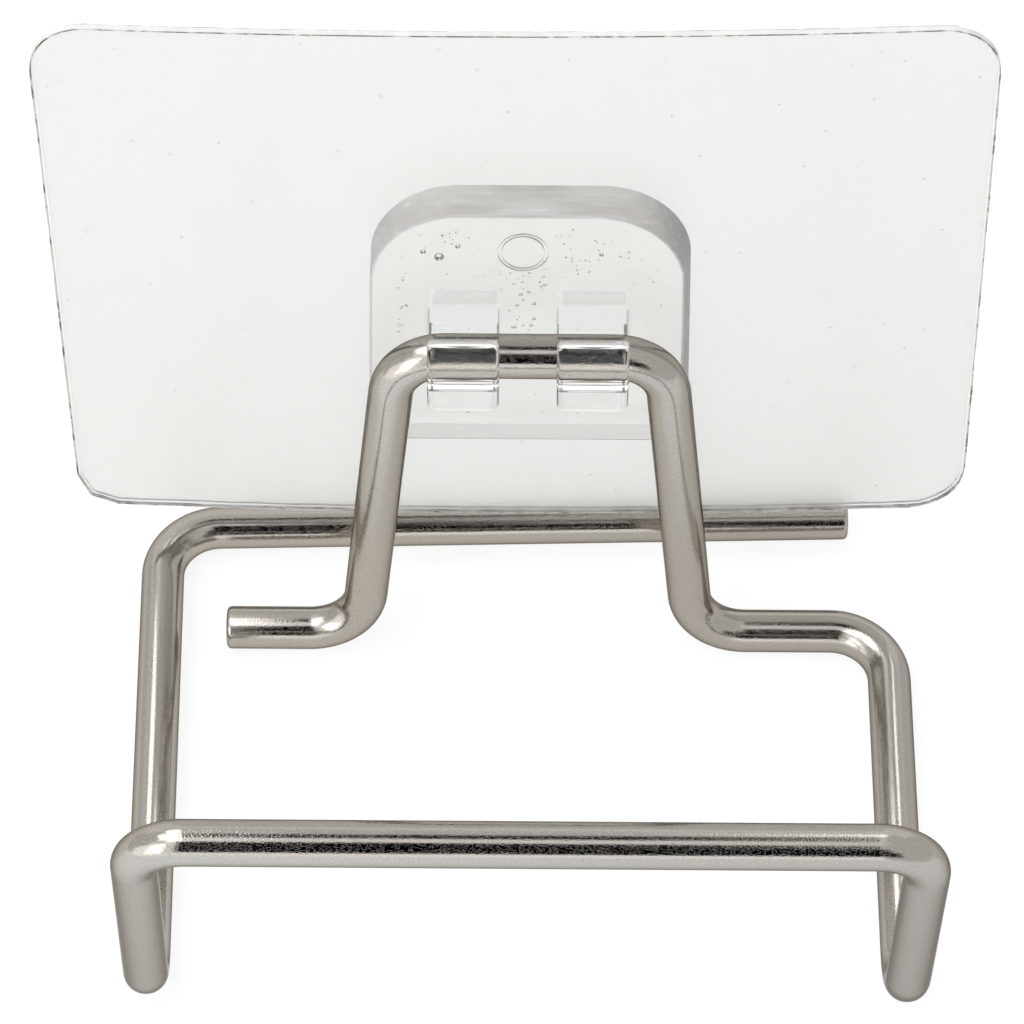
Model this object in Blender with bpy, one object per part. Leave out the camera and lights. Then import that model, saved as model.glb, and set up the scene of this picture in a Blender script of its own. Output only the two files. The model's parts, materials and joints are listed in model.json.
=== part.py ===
"""Adhesive wall holder for a sponge: a bent wire tray that hangs in the hooks of a clear adhesive plate.

Metres, +Z up, +Y towards the wall, +X to the right of someone who faces the wall. The tray stands level
on its rails, and the loose plate leans back on the tray's top bar, with its pad against the risers.
"""
import math

import bmesh
import bpy
from mathutils import Matrix, Vector

# Wire
WIRE_DIAMETER = 0.0040
WIRE_END_CHAMFER = 0.0004
BEND_RADIUS = 0.0054          # on the wire's axis, at the feet and the rear corners
TOP_BEND_RADIUS = 0.0049      # where the top bar turns down into the risers
FRONT_BEND_RADIUS = 0.0046    # at both ends of the front bar and of the uprights
LEFT_BASE_BEND_RADIUS = 0.0032

# Tray, measured between wire axes
TRAY_WIDTH = 0.0674
TRAY_DEPTH = 0.0498
FOOT_SETBACK = 0.0119         # the feet lie this far in front of the rear bar
FRONT_HEIGHT = 0.0282
FRONT_LEAN = 0.0013           # the front bar overhangs the uprights' base
TOP_BAR_HEIGHT = 0.0345
RISER_SPREAD = 0.0036         # each riser's foot is this much further out than its top
LEFT_FOOT_LENGTH = 0.0126
REAR_BAR_END_GAP = 0.0033     # from the rear bar's free end to the line of the right rail
REAR_BAR_SKEW = 0.0017        # a hand-bent frame: the rear bar's right end lies further back
FRONT_SKEW = 0.0009           # and the right upright's base further forward
LEFT_RAIL_SPLAY = 0.0008
FRONT_BAR_TUCK = 0.0006

# Hook pad
PAD_THICKNESS = 0.0040
PAD_TOP_WIDTH = 0.0274
PAD_BOTTOM_WIDTH = 0.0285
PAD_ABOVE_BAR = 0.0146
PAD_BELOW_BAR = 0.0129
PAD_TOP_RADIUS = 0.0078
PAD_BOTTOM_RADIUS = 0.0020
PAD_SIDE_PLAY = 0.0002        # the pad has slid this far to the left along the bar
HOOK_SPACING = 0.01136
HOOK_WIDTH = 0.0063
HOOK_LIP_THICKNESS = 0.00135
HOOK_SHELF_THICKNESS = 0.00135
HOOK_LIP_HEIGHT = 0.00475     # above the bar's axis
HOOK_HEEL_RADIUS = 0.0012
HOOK_CORNER_RADIUS = 0.0014
WINDOW_HEIGHT = 0.00495       # above the bar's axis
WINDOW_SIDE_STEP = 0.00010    # each side of a window stands in from its hook's side
MARK_DIAMETER = 0.0044
MARK_DEPTH = 0.0003
MARK_HEIGHT = 0.0103          # above the bar's axis
MARK_OFFSET = 0.0003

# Sheet and adhesive
SHEET_WIDTH = 0.0825
SHEET_ABOVE_BAR = 0.0314
SHEET_BELOW_BAR = 0.0268
SHEET_THICKNESS = 0.0006
SHEET_CORNER_RADIUS = 0.0050
SHEET_OFFSET = 0.00095        # the sheet's middle lies this far to the left of the pad's
SHEET_SKEW = math.radians(0.9)
ADHESIVE_THICKNESS = 0.00035
ADHESIVE_INSET = 0.0003

# Fits
BAR_CLEARANCE = 0.00030       # between the top bar and the pad's face
HOOK_CLEARANCE = 0.00035      # round the top bar inside a hook
BEND_INTO_HOOK = 0.00135      # how far inside a hook's outer face the top bar may start to bend
BOND_GAP = 0.00005
PLATE_LEAN = math.radians(9.45)

# Fineness
WIRE_SIDES_RESOLUTION = 6
BEND_STEPS = 10
CORNER_STEPS = 10
TRIMMED_CORNER_STEPS = 3
ROUND_STEPS = 32

WIRE_RADIUS = WIRE_DIAMETER / 2
PAD_FACE = WIRE_RADIUS + BAR_CLEARANCE
PAD_BACK = PAD_FACE + PAD_THICKNESS
SHEET_FRONT = PAD_BACK + BOND_GAP
SHEET_BACK = SHEET_FRONT + SHEET_THICKNESS
ADHESIVE_FRONT = SHEET_BACK + BOND_GAP
BAR_TO_WALL = ADHESIVE_FRONT + ADHESIVE_THICKNESS
SLOT_RADIUS = WIRE_RADIUS + HOOK_CLEARANCE

# Against a wall the tray is level when the rear bar touches it
TOP_BAR_INSET = BAR_TO_WALL - WIRE_RADIUS
TOP_BAR_DEPTH = TRAY_DEPTH - TOP_BAR_INSET
FOOT_DEPTH = TRAY_DEPTH - FOOT_SETBACK
CUT_MARGIN = 0.001


def fillet(before, corner, after, radius, steps):
    """Points of the arc that rounds a corner between two straight runs."""
    towards_start = (before - corner).normalized()
    towards_end = (after - corner).normalized()
    half_angle = towards_start.angle(towards_end) / 2
    run = radius / math.tan(half_angle)
    centre = corner + (towards_start + towards_end).normalized() * radius / math.sin(half_angle)
    first = (corner + towards_start * run - centre).normalized()
    last = (corner + towards_end * run - centre).normalized()
    sweep = first.angle(last)
    across = (last - first * math.cos(sweep)).normalized()
    angles = [sweep * step / steps for step in range(steps + 1)]
    return [centre + radius * (first * math.cos(a) + across * math.sin(a)) for a in angles]


def rounded_path(corners, closed):
    """Corners are (x, y, z, bend radius, steps); a radius of 0 keeps the point."""
    path = []
    count = len(corners)
    for i, (x, y, z, radius, steps) in enumerate(corners):
        point = Vector((x, y, z))
        at_end = not closed and i in (0, count - 1)
        if radius == 0 or at_end:
            path.append(point)
        else:
            before = Vector(corners[i - 1][:3])
            after = Vector(corners[(i + 1) % count][:3])
            path.extend(fillet(before, point, after, radius, steps))
    return path


def flat_corner(x, z, radius, steps=CORNER_STEPS):
    return (x, z, 0.0, radius, steps)


def arc_points(centre_x, centre_y, radius, start, end, steps):
    angles = [math.radians(start + (end - start) * step / steps) for step in range(steps + 1)]
    return [Vector((centre_x + radius * math.cos(a), centre_y + radius * math.sin(a), 0.0)) for a in angles]


def material(name, colour, roughness, metallic=0.0, alpha=1.0, transmission=0.0):
    made = bpy.data.materials.new(name)
    made.use_nodes = True
    shader = made.node_tree.nodes["Principled BSDF"]
    shader.inputs["Base Color"].default_value = (*colour, 1.0)
    shader.inputs["Roughness"].default_value = roughness
    shader.inputs["Metallic"].default_value = metallic
    shader.inputs["Alpha"].default_value = alpha
    shader.inputs["Transmission Weight"].default_value = transmission
    made.diffuse_color = (*colour, alpha)
    return made


def empty(name, location, parent=None):
    made = bpy.data.objects.new(name, None)
    made.empty_display_size = 0.01
    made.location = location
    made.parent = parent
    return made


def curve_object(name, points, closed):
    data = bpy.data.curves.new(name, "CURVE")
    spline = data.splines.new("POLY")
    spline.points.add(len(points) - 1)
    for target, point in zip(spline.points, points):
        target.co = (*point, 1.0)
    spline.use_cyclic_u = closed
    return bpy.data.objects.new(name, data)


def flat_solid(name, outline, thickness):
    """A closed outline in the curve's XY plane, filled and extruded both ways."""
    made = curve_object(name, outline, closed=True)
    made.data.dimensions = "2D"
    made.data.fill_mode = "BOTH"
    made.data.extrude = thickness / 2
    return made


def as_mesh(curve, collection):
    """Turn a curve object into a welded mesh object of the same name and place."""
    collection.objects.link(curve)
    bpy.context.view_layer.update()
    evaluated = curve.evaluated_get(bpy.context.evaluated_depsgraph_get())
    mesh = bpy.data.meshes.new_from_object(evaluated)
    welded = bmesh.new()
    welded.from_mesh(mesh)
    bmesh.ops.remove_doubles(welded, verts=welded.verts, dist=1e-6)
    bmesh.ops.recalc_face_normals(welded, faces=welded.faces)
    welded.to_mesh(mesh)
    welded.free()
    name = curve.name
    place = curve.matrix_world.copy()
    bpy.data.objects.remove(curve)
    made = bpy.data.objects.new(name, mesh)
    made.matrix_world = place
    collection.objects.link(made)
    return made


def boolean(target, tool, operation):
    modifier = target.modifiers.new(tool.name, "BOOLEAN")
    modifier.operation = operation
    modifier.solver = "EXACT"
    modifier.object = tool


def hide_tool(tool):
    tool.hide_render = True
    tool.display_type = "WIRE"


def box_tool(name, low, high, collection, parent):
    mesh = bpy.data.meshes.new(name)
    shape = bmesh.new()
    bmesh.ops.create_cube(shape, size=1.0)
    size = Vector(high) - Vector(low)
    centre = (Vector(high) + Vector(low)) / 2
    bmesh.ops.transform(shape, matrix=Matrix.Translation(centre) @ Matrix.Diagonal((*size, 1.0)), verts=shape.verts)
    shape.to_mesh(mesh)
    shape.free()
    made = bpy.data.objects.new(name, mesh)
    made.parent = parent
    collection.objects.link(made)
    hide_tool(made)
    return made


def top_bar_half():
    """Half the top bar between its corner points: it starts to bend just inside the hooks."""
    hooks_outer = (HOOK_SPACING + HOOK_WIDTH) / 2
    riser = Vector((RISER_SPREAD, FOOT_DEPTH - TOP_BAR_DEPTH, -TOP_BAR_HEIGHT))
    turn = riser.angle(Vector((1.0, 0.0, 0.0)))
    return hooks_outer - BEND_INTO_HOOK + TOP_BEND_RADIUS * math.tan(turn / 2)


def wire_corners():
    """The wire's axis, from the left foot's free end to the rear bar's, as corners with bends."""
    side = TRAY_WIDTH / 2
    top = top_bar_half()
    foot = top + RISER_SPREAD
    rear_left = TRAY_DEPTH - REAR_BAR_SKEW / 2
    rear_right = TRAY_DEPTH + REAR_BAR_SKEW / 2
    return [
        (-foot - LEFT_FOOT_LENGTH, FOOT_DEPTH, 0.0, 0.0, 0),
        (-foot, FOOT_DEPTH, 0.0, BEND_RADIUS, BEND_STEPS),
        (-top, TOP_BAR_DEPTH, TOP_BAR_HEIGHT, TOP_BEND_RADIUS, BEND_STEPS),
        (top, TOP_BAR_DEPTH, TOP_BAR_HEIGHT, TOP_BEND_RADIUS, BEND_STEPS),
        (foot, FOOT_DEPTH, 0.0, BEND_RADIUS, BEND_STEPS),
        (side, FOOT_DEPTH, 0.0, BEND_RADIUS, BEND_STEPS),
        (side, -FRONT_SKEW / 2, 0.0, FRONT_BEND_RADIUS, BEND_STEPS),
        (side, -FRONT_LEAN, FRONT_HEIGHT, FRONT_BEND_RADIUS, BEND_STEPS),
        (-side + FRONT_BAR_TUCK, -FRONT_LEAN, FRONT_HEIGHT, FRONT_BEND_RADIUS, BEND_STEPS),
        (-side, FRONT_SKEW / 2, 0.0, LEFT_BASE_BEND_RADIUS, BEND_STEPS),
        (-side - LEFT_RAIL_SPLAY, rear_left, 0.0, BEND_RADIUS, BEND_STEPS),
        (side - REAR_BAR_END_GAP, rear_right, 0.0, 0.0, 0),
    ]


def with_chamfered_ends(path, radius, chamfer):
    """Add a full-width point just inside each end and give every point its share of the radius."""
    first = path[0] + (path[1] - path[0]).normalized() * chamfer
    last = path[-1] + (path[-2] - path[-1]).normalized() * chamfer
    points = [path[0], first, *path[1:-1], last, path[-1]]
    shares = [1.0] * len(points)
    shares[0] = shares[-1] = (radius - chamfer) / radius
    return points, shares


def make_wire(collection, parent):
    path = rounded_path(wire_corners(), closed=False)
    points, shares = with_chamfered_ends(path, WIRE_RADIUS, WIRE_END_CHAMFER)
    made = curve_object("wire_frame", points, closed=False)
    made.data.dimensions = "3D"
    made.data.bevel_depth = WIRE_RADIUS
    made.data.bevel_resolution = WIRE_SIDES_RESOLUTION
    made.data.use_fill_caps = True
    for point, share in zip(made.data.splines[0].points, shares):
        point.radius = share
    made.data.splines[0].use_smooth = True
    made.parent = parent
    made.data.materials.append(material("stainless_wire", (0.62, 0.59, 0.55), 0.25, metallic=1.0))
    collection.objects.link(made)
    return made


def pad_outline():
    top = PAD_TOP_WIDTH / 2
    bottom = PAD_BOTTOM_WIDTH / 2
    return rounded_path([
        flat_corner(-bottom, -PAD_BELOW_BAR, PAD_BOTTOM_RADIUS),
        flat_corner(bottom, -PAD_BELOW_BAR, PAD_BOTTOM_RADIUS),
        flat_corner(top, PAD_ABOVE_BAR, PAD_TOP_RADIUS),
        flat_corner(-top, PAD_ABOVE_BAR, PAD_TOP_RADIUS),
    ], closed=True)


def hook_profile():
    """The J of a hook, seen from its side: x is the depth towards the wall, y the height."""
    front = -SLOT_RADIUS - HOOK_LIP_THICKNESS
    bottom = -SLOT_RADIUS - HOOK_SHELF_THICKNESS
    root = PAD_FACE + PAD_THICKNESS / 2
    tip_radius = HOOK_LIP_THICKNESS / 2
    tip_height = HOOK_LIP_HEIGHT - tip_radius
    heel = arc_points(front + HOOK_HEEL_RADIUS, bottom + HOOK_HEEL_RADIUS, HOOK_HEEL_RADIUS, 270, 180, CORNER_STEPS // 2)
    tip = arc_points(front + tip_radius, tip_height, tip_radius, 180, 0, CORNER_STEPS)
    slot = arc_points(0.0, 0.0, SLOT_RADIUS, 180, 270, CORNER_STEPS)
    return [Vector((root, bottom, 0.0)), *heel, *tip, *slot, Vector((root, -SLOT_RADIUS, 0.0))]


def make_hook(name, centre_x, tools, parent):
    """One J hook, with the corners of its front view rounded, as a tool that is joined to the pad."""
    profile = flat_solid(name, hook_profile(), HOOK_WIDTH)
    # the curve's x goes to world y and its y to world z
    turn = Matrix(((0, 0, 1, 0), (1, 0, 0, 0), (0, 1, 0, 0), (0, 0, 0, 1)))
    profile.matrix_world = Matrix.Translation((centre_x, 0.0, 0.0)) @ turn
    hook = as_mesh(profile, tools)
    half = HOOK_WIDTH / 2
    bottom = -SLOT_RADIUS - HOOK_SHELF_THICKNESS
    front_view = rounded_path([
        flat_corner(-half, bottom, HOOK_CORNER_RADIUS),
        flat_corner(half, bottom, HOOK_CORNER_RADIUS),
        flat_corner(half, HOOK_LIP_HEIGHT, HOOK_CORNER_RADIUS / 2),
        flat_corner(-half, HOOK_LIP_HEIGHT, HOOK_CORNER_RADIUS / 2),
    ], closed=True)
    depth = PAD_BACK + SLOT_RADIUS + HOOK_LIP_THICKNESS
    limit = flat_solid(name + "_front_view", front_view, 2 * depth)
    limit.matrix_world = Matrix.Translation((centre_x, 0.0, 0.0)) @ Matrix.Rotation(math.pi / 2, 4, "X")
    limit = as_mesh(limit, tools)
    boolean(hook, limit, "INTERSECT")
    for tool in (hook, limit):
        place = tool.matrix_world.copy()
        tool.parent = parent
        tool.matrix_local = place
        hide_tool(tool)
    return hook


def make_mark(tools, parent):
    """A plain round dimple left by the mould."""
    bpy.ops.mesh.primitive_cylinder_add(vertices=ROUND_STEPS, radius=MARK_DIAMETER / 2, depth=2 * MARK_DEPTH)
    made = bpy.context.object
    made.name = "mould_mark"
    for owner in made.users_collection:
        owner.objects.unlink(made)
    tools.objects.link(made)
    made.parent = parent
    made.location = (-PAD_SIDE_PLAY - MARK_OFFSET, PAD_FACE, MARK_HEIGHT)
    made.rotation_euler = (math.pi / 2, 0.0, 0.0)
    hide_tool(made)
    return made


def make_hook_pad(collection, tools, parent):
    pad = flat_solid("hook_pad", pad_outline(), PAD_THICKNESS)
    pad.matrix_world = (Matrix.Translation((-PAD_SIDE_PLAY, PAD_FACE + PAD_THICKNESS / 2, 0.0))
                        @ Matrix.Rotation(math.pi / 2, 4, "X"))
    pad = as_mesh(pad, collection)
    place = pad.matrix_world.copy()
    pad.parent = parent
    pad.matrix_local = place
    for name, side in (("left", -1), ("right", 1)):
        centre = side * HOOK_SPACING / 2 - PAD_SIDE_PLAY
        half = HOOK_WIDTH / 2 - WINDOW_SIDE_STEP
        low = (centre - half, PAD_FACE - CUT_MARGIN, -SLOT_RADIUS)
        high = (centre + half, PAD_BACK + CUT_MARGIN, WINDOW_HEIGHT)
        boolean(pad, box_tool("window_" + name, low, high, tools, parent), "DIFFERENCE")
        boolean(pad, make_hook("hook_" + name, centre, tools, parent), "UNION")
    boolean(pad, make_mark(tools, parent), "DIFFERENCE")
    pad.data.materials.append(material("clear_moulding", (0.93, 0.93, 0.92), 0.08, transmission=0.9))
    return pad


def sheet_outline(inset):
    """The sheet's outline in its own axes; its lower left corner was trimmed with straight cuts."""
    left = -PAD_SIDE_PLAY - SHEET_OFFSET - SHEET_WIDTH / 2 + inset
    right = left + SHEET_WIDTH - 2 * inset
    top = SHEET_ABOVE_BAR - inset
    bottom = -SHEET_BELOW_BAR + inset
    radius = SHEET_CORNER_RADIUS - inset
    return rounded_path([
        flat_corner(left, bottom, radius, TRIMMED_CORNER_STEPS),
        flat_corner(right, bottom, radius),
        flat_corner(right, top, radius),
        flat_corner(left, top, radius),
    ], closed=True)


def make_layer(name, inset, front, thickness, finish, collection, parent):
    made = flat_solid(name, sheet_outline(inset), thickness)
    made.location = (0.0, front + thickness / 2, 0.0)
    made.rotation_euler = (math.pi / 2, -SHEET_SKEW, 0.0)
    made.parent = parent
    made.data.materials.append(finish)
    collection.objects.link(made)
    return made


def sheet_middle():
    """The sheet's middle in the plate's axes, after its skew."""
    x = -PAD_SIDE_PLAY - SHEET_OFFSET
    z = (SHEET_ABOVE_BAR - SHEET_BELOW_BAR) / 2
    return (x * math.cos(SHEET_SKEW) - z * math.sin(SHEET_SKEW), x * math.sin(SHEET_SKEW) + z * math.cos(SHEET_SKEW))


def ground_origin():
    """Where the tray's own corner goes, so that the middle of the whole object's base is the origin."""
    middle_x, middle_z = sheet_middle()
    flat_width = SHEET_WIDTH / 2 - SHEET_CORNER_RADIUS
    flat_height = (SHEET_ABOVE_BAR + SHEET_BELOW_BAR) / 2 - SHEET_CORNER_RADIUS
    reach = flat_height * math.cos(SHEET_SKEW) + flat_width * math.sin(SHEET_SKEW) + SHEET_CORNER_RADIUS
    top_edge = middle_z + reach - ADHESIVE_INSET
    plate_back = TOP_BAR_DEPTH + BAR_TO_WALL * math.cos(PLATE_LEAN) + top_edge * math.sin(PLATE_LEAN)
    rear_back = TRAY_DEPTH + REAR_BAR_SKEW / 2 + WIRE_RADIUS
    front = -max(FRONT_LEAN, FRONT_SKEW / 2) - WIRE_RADIUS
    return Vector((-middle_x, -(max(plate_back, rear_back) + front) / 2, WIRE_RADIUS))


def clear_scene():
    for old in list(bpy.data.objects):
        bpy.data.objects.remove(old)


def new_collection(name):
    made = bpy.data.collections.new(name)
    bpy.context.scene.collection.children.link(made)
    return made


def main():
    clear_scene()
    parts = new_collection("sponge_holder")
    tools = new_collection("cutters")
    tray = empty("tray_origin", ground_origin())
    hinge = empty("top_bar_axis", (0.0, TOP_BAR_DEPTH, TOP_BAR_HEIGHT), tray)
    hinge.rotation_euler = (-PLATE_LEAN, 0.0, 0.0)
    for helper in (tray, hinge):
        parts.objects.link(helper)
    make_wire(parts, tray)
    make_hook_pad(parts, tools, hinge)
    sheet_finish = material("clear_sheet", (0.90, 0.90, 0.89), 0.25, transmission=0.7)
    adhesive_finish = material("clear_adhesive", (0.88, 0.88, 0.87), 0.40, transmission=0.6)
    make_layer("backing_sheet", 0.0, SHEET_FRONT, SHEET_THICKNESS, sheet_finish, parts, hinge)
    make_layer("adhesive_layer", ADHESIVE_INSET, ADHESIVE_FRONT, ADHESIVE_THICKNESS, adhesive_finish, parts, hinge)
    bpy.context.view_layer.update()


main()
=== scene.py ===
"""Looks of the adhesive sponge holder: its bent stainless wire, its clear hook pad, and the hazy sheet and
clear adhesive behind that, with the floor, the studio light and the camera.

Sizes are in millimetres where a name or a comment says so, and MM turns them to metres.
"""
import json
import math
import random

import bmesh
import bpy
from mathutils import Matrix, Vector, noise


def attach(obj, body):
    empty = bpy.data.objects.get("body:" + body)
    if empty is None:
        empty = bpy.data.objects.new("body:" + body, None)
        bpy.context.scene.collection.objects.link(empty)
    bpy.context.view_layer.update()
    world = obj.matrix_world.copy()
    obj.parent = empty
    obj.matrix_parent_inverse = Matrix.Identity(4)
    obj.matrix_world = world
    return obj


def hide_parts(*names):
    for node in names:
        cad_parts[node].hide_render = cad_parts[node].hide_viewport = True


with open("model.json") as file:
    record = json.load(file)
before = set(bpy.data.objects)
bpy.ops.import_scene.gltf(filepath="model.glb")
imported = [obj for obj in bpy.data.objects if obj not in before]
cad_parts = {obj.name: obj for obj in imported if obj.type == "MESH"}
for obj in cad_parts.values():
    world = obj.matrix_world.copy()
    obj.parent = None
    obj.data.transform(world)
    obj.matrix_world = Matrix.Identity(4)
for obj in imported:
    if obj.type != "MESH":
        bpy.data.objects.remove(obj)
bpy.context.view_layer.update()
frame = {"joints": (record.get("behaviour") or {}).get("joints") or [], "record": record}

MM = 0.001
NEAR = 1e-3  # millimetres within which two places count as one

# Wire, in millimetres, with its runs measured between axes
WIRE_RADIUS = 2.0
WIRE_END_ROUNDING = 0.45
TRAY_WIDTH = 67.4
TRAY_DEPTH = 49.8
FOOT_SETBACK = 11.9
FRONT_HEIGHT = 28.2
FRONT_LEAN = 1.3
TOP_BAR_HEIGHT = 34.5
TOP_BAR_DEPTH = 44.45
TOP_BAR_HALF = 11.9
RISER_SPREAD = 3.6
LEFT_FOOT_LENGTH = 12.6
REAR_BAR_END_GAP = 3.3
REAR_BAR_SKEW = 1.7
FRONT_SKEW = 0.9
LEFT_RAIL_SPLAY = 0.8
FRONT_BAR_TUCK = 0.6

# How many sides or steps a rounded form has
WIRE_SIDES = 48
BEND_STEPS = 16
END_STEPS = 5
ROD_SIDES = 64
PAD_TOP_STEPS = 24
CORNER_STEPS = 8
TRIMMED_CORNER_STEPS = 2
EDGE_STEPS = 4
HOOK_SLICES = 28

# The wire's surface, in millimetres along it, round it and deep
WAVE_LENGTH = 9.0
WAVE_WIDTH = 2.5
WAVE_DEPTH = 0.012
DENT_LENGTH = 0.24
DENT_WIDTH = 0.15
DENT_DEPTH = 0.010
DENT_SIZE = 0.42  # of the dents' spacing
DENT_GAPS = 0.50  # share of places with no dent
GRAIN_LENGTH = 0.22
GRAIN_WIDTH = 0.14
GRAIN_DEPTH = 0.009

# Hook pad, in millimetres, about the top bar's axis: x across, y towards the wall, z up the plate
PAD_FACE = 2.30
PAD_THICKNESS = 4.00
PAD_TOP_HALF = 13.70
PAD_BOTTOM_HALF = 14.25
PAD_ABOVE_BAR = 14.60
PAD_BELOW_BAR = 12.90
PAD_TOP_RADIUS = 7.80
PAD_BOTTOM_RADIUS = 2.00
PAD_EDGE_RADIUS = 0.22
PAD_SHIFT = -0.20
PAD_RIGHT_DRAFT = 0.60  # how much further in the face's right edge lies
PAD_RIGHT_WIDER = 0.40
CLEAR, SATIN = 0, 1
HOOK_SPACING = 11.36
HOOK_WIDTH = 6.30
HOOK_WALL = 1.35
SLOT_RADIUS = 2.35
HOOK_LIP_HEIGHT = 4.35
HOOK_HEEL_RADIUS = 0.95
HOOK_CORNER_RADIUS = 1.30
HOOK_EDGE_RADIUS = 0.40
LIP_CORNER_RADIUS = 0.60
LIP_TAPER_START = 0.40
LIP_TAPER_RADIUS = 13.0
SLOT_TOP = 20.0
WINDOW_HEIGHT = 3.75
WINDOW_SIDE_STEP = 0.10
WINDOW_CORNER_RADIUS = 0.50
WINDOW_RIM = 0.40
CUT_MARGIN = 1.0
MARK_RADIUS = 2.20
MARK_RING_WIDTH = 0.35
MARK_DEPTH = 0.25
MARK_HEIGHT = 10.30
MARK_SHIFT = -0.50

# Bubbles, in millimetres: middle across and up the pad, reach across and up, how many, smallest and largest
BUBBLES = [
    (-8.0, 9.4, 0.0, 0.0, 1, 0.46, 0.46),
    (-9.3, 10.1, 0.1, 0.1, 1, 0.26, 0.26),
    (-6.3, 10.2, 0.1, 0.1, 1, 0.24, 0.24),
    (6.1, 9.4, 0.1, 0.1, 1, 0.22, 0.22),
    (-6.6, 11.0, 1.2, 1.3, 8, 0.06, 0.12),
    (-0.3, 3.4, 1.6, 3.2, 26, 0.07, 0.20),
    (-11.3, 3.4, 0.5, 3.8, 13, 0.06, 0.15),
    (5.5, 10.8, 3.4, 2.0, 14, 0.05, 0.11),
    (9.8, 7.4, 1.5, 1.6, 6, 0.05, 0.11),
    (0.3, 7.6, 5.0, 0.9, 18, 0.05, 0.11),
    (3.0, 8.4, 2.2, 0.9, 8, 0.06, 0.13),
    (0.0, 6.5, 12.6, 6.0, 24, 0.03, 0.07),
    (0.0, -6.5, 11.0, 4.0, 14, 0.04, 0.10),
]
BUBBLE_SKIN = 0.25  # least plastic beside a bubble
BUBBLE_FLATNESS = 0.75  # least depth for its width

# Sheet and adhesive, in millimetres
SHEET_WIDTH = 82.5
SHEET_ABOVE_BAR = 31.4
SHEET_BELOW_BAR = 26.8
SHEET_THICKNESS = 0.60
SHEET_CORNER_RADIUS = 5.0
TRIMMED_CORNER_RADIUS = 3.6
SHEET_SHIFT = -1.15
SHEET_SKEW = math.radians(0.9)
SHEET_CURL = 1.18  # how far back its sides lie
SHEET_TWIST = math.radians(-0.6)
ADHESIVE_THICKNESS = 0.35
ADHESIVE_INSET = 0.30
BOND_GAP = 0.05
GRID_PITCH = 1.5
EDGE_RAGGEDNESS = 0.06
EDGE_LINE = 0.14
EDGE_BREAKS = 1.3
# Heights in millimetres up from the floor: the film's edge line is paler below the first and darker above
# the second
PALER_EDGE_BELOW = 58.0
DARKER_EDGE_ABOVE = 62.0
FILM_GRAIN = 0.22
FILM, CUT = 0, 1

# How fine these are, as repeats to a millimetre
EDGE_WAVES = 0.35
EDGE_TEETH = 1.3
DUST_SPECKS = 0.35
FLOW_WAVES = 0.35
SATIN_STREAKS = (0.25, 1.8, 1.8)

# How deep the moulding's flow waves and the films' grain are, in millimetres
FLOW_DEPTH = 0.05
FILM_DEPTH = 0.03

# Camera, fitted to the wire's straight runs
CAMERA_PLACE = Vector((-0.365, -209.80, 350.33)) * MM
CAMERA_PITCH = math.radians(56.093)
CAMERA_YAW = math.radians(-0.011)
CAMERA_ROLL = math.radians(-0.406)
CAMERA_LENS = 154.69

# Where the floor's painted reflection changes, in millimetres: from the front inwards it darkens into
# painted shade inside the tray, and from left to right painted light dims away from the lamp
FLOOR_INWARD = (-34.0, -8.0)
FLOOR_ACROSS = (-45.0, 55.0)

# Studio, as (level, degrees to the side, degrees up from the front horizon, softness). Later ones lie on
# top. In turn: walls and table, the dark front, the lamp to the left with its fringe, the lights overhead
WALL_LIGHT = 0.76
STUDIO_CARDS = [
    (0.98, (-45, 40), (132, 215), 6),
    (1.45, (-30, 13), (-20, 15), 3),
    (1.65, (-78, -24), (-20, 62), 5),
    (1.30, (-52, -14), (50, 76), 3),

    (0.10, (9, 21), (16, 50), 4),
    (0.0, (10, 32), (15, 37), 3),
    (0.0, (-13, 13), (14, 50), 2.0),
    (0.0, (-12, 8), (40, 67), 2.5),

    (3.0, (-50, -27.5), (10, 57), 3),
    (1.20, (-27.5, -16), (12, 52), 3),

    (3.0, (-39, -10), (78, 112), 2.5),
    (3.0, (-27, -9), (66, 127), 1.5),
    (1.0, (6, 16), (67, 112), 2),
    (2.6, (6, 16), (114, 127), 1.5),
    (1.15, (-8, 7), (68.5, 87), 1.5),
    (0.0, (-8, 7), (86.5, 107), 2),
    (0.75, (-4, 6), (108, 127), 1.5),
]

joint = frame["joints"][0]
wall_face = frame["record"]["mounts"][0]
BAR = Vector(joint["pos_m"])
LEAN = math.asin(-wall_face["axis"][2])
TRAY = BAR - Vector((0.0, TOP_BAR_DEPTH, TOP_BAR_HEIGHT)) * MM
PLATE = Matrix.Translation(BAR) @ Matrix.Rotation(-LEAN, 4, "X") @ Matrix.Scale(MM, 4)


def deselect():
    if bpy.context.object and bpy.context.object.mode != "OBJECT":
        bpy.ops.object.mode_set(mode="OBJECT")
    bpy.ops.object.select_all(action="DESELECT")


def activate(piece):
    deselect()
    piece.select_set(True)
    bpy.context.view_layer.objects.active = piece


def named(name):
    """The new primitive, given its name and left in edit mode with all of it selected."""
    made = bpy.context.object
    made.name = made.data.name = name
    bpy.ops.object.transform_apply(location=True, rotation=True, scale=True)
    bpy.ops.object.mode_set(mode="EDIT")
    bpy.ops.mesh.select_all(action="SELECT")
    return made


def leave():
    bpy.ops.object.mode_set(mode="OBJECT")


def pick(piece, kind, test):
    """In edit mode, select only the vertices or the edges whose own points all pass the test."""
    bpy.ops.mesh.select_mode(type={"verts": "VERT", "edges": "EDGE"}[kind])
    bpy.ops.mesh.select_all(action="DESELECT")
    shape = bmesh.from_edit_mesh(piece.data)
    for part in getattr(shape, kind):
        points = [part.co] if kind == "verts" else [v.co for v in part.verts]
        if all(test(p) for p in points):
            part.select = True
    shape.select_flush_mode()
    bmesh.update_edit_mesh(piece.data)


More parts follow.
